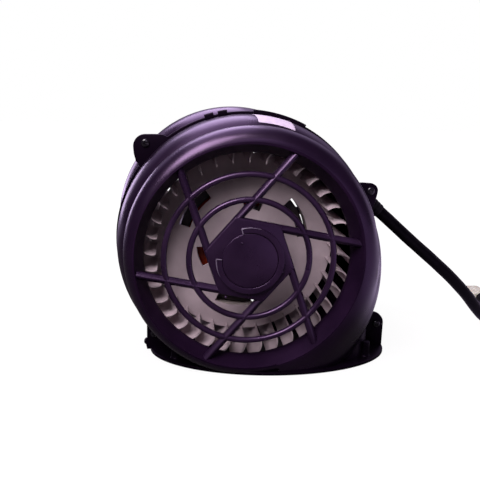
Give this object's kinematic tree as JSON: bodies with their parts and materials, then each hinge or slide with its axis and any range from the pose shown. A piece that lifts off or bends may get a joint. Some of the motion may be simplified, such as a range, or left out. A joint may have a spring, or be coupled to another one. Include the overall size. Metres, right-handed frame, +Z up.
{
  "type": "range hood blower motor",
  "caption": "Double-inlet centrifugal blower of a cooker hood: spiral plastic housing on an oval outlet flange, moulded inlet grilles, bladed wheel on an induction motor and a sleeved lead.",
  "frame": {"origin": "centre of the outlet flange's hole pattern on the flange's underside", "axes": "+X right as the front inlet is faced, +Y to the rear along the fan axis, +Z up from the outlet flange"},
  "size_m": [0.4627, 0.247, 0.2444],
  "materials": {
    "housing": "satin dark violet grey plastic",
    "wheel": "natural pale plastic",
    "insert": "turned brass",
    "fastener": "zinc-plated steel",
    "dark_screw": "black-coated steel",
    "shaft": "ground steel",
    "lamination": "stacked electrical sheet",
    "cage": "die-cast aluminium",
    "winding": "enamelled copper wire",
    "bracket": "pressed steel, dark coat",
    "bearing": "bearing steel",
    "soft": "black rubber",
    "lead": "black sleeving",
    "connector": "natural nylon"
  },
  "bodies": {
    "housing": {"front_shell": "housing", "rear_shell": "housing", "shell_screws": "dark_screw", "stator_core": "lamination", "stator_windings": "winding", "motor_front_bracket": "bracket", "motor_rear_bracket": "bracket", "motor_bolts": "fastener", "front_bearing": "bearing", "rear_bearing": "bearing", "motor_dampers": "soft", "motor_mount_screws": "fastener", "cable_gland": "soft", "motor_lead": "lead", "lead_connector": "connector"},
    "fan": {"impeller": "wheel", "impeller_hub": "insert", "hub_nut": "fastener", "shaft": "shaft", "rotor_core": "lamination", "rotor_cage": "cage", "shaft_clips": "fastener"}
  },
  "joints": [
    {"name": "impeller_spin", "type": "hinge", "parent": "housing", "child": "fan", "pos_m": [-0.029, 0, 0.112], "axis": [0, 1, 0], "continuous": true}
  ]
}
